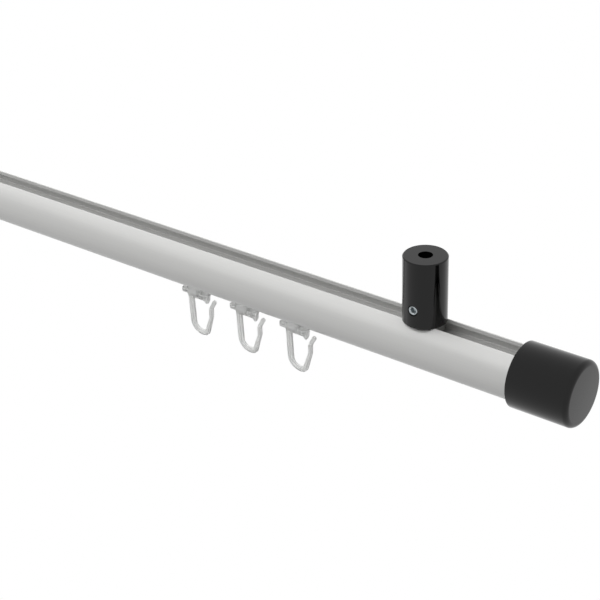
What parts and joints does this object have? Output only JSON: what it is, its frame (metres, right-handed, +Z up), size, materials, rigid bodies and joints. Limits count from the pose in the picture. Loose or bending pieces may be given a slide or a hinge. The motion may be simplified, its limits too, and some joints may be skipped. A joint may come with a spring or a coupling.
{
  "type": "curtain track",
  "caption": "Round slotted aluminium curtain rail hung from short ceiling brackets, with end caps and pleat hook gliders that slide in its lower slot",
  "frame": {"origin": "on the ceiling plane, midway between the two brackets", "axes": "+X along the rail towards the right end cap, +Z up at the ceiling, -Y towards the room"},
  "size_m": [0.606, 0.024, 0.0663],
  "materials": {
    "rail": "brushed and clear anodised",
    "black_metal": "smooth black powder coat, semi gloss",
    "zinc_clip": "bright zinc plated",
    "set_screw": "bright zinc plated",
    "glider": "natural white nylon, slightly clear"
  },
  "bodies": {
    "track": {"rail": "rail", "end_cap_left": "black_metal", "end_cap_right": "black_metal", "ceiling_bracket_left": "black_metal", "ceiling_bracket_right": "black_metal", "rail_clip_left": "zinc_clip", "rail_clip_right": "zinc_clip", "set_screw_left": "set_screw", "set_screw_right": "set_screw"},
    "glider_1": {"glider_1": "glider"},
    "glider_2": {"glider_2": "glider"},
    "glider_3": {"glider_3": "glider"}
  },
  "joints": [
    {"name": "glider_1_slide", "type": "slide", "parent": "track", "child": "glider_1", "axis": [1, 0, 0], "range_m": [-0.0048, 0.0945]},
    {"name": "glider_2_slide", "type": "slide", "parent": "track", "child": "glider_2", "axis": [1, 0, 0], "range_m": [-0.0048, 0.0048]},
    {"name": "glider_3_slide", "type": "slide", "parent": "track", "child": "glider_3", "axis": [1, 0, 0], "range_m": [-0.4085, 0.0048]}
  ]
}
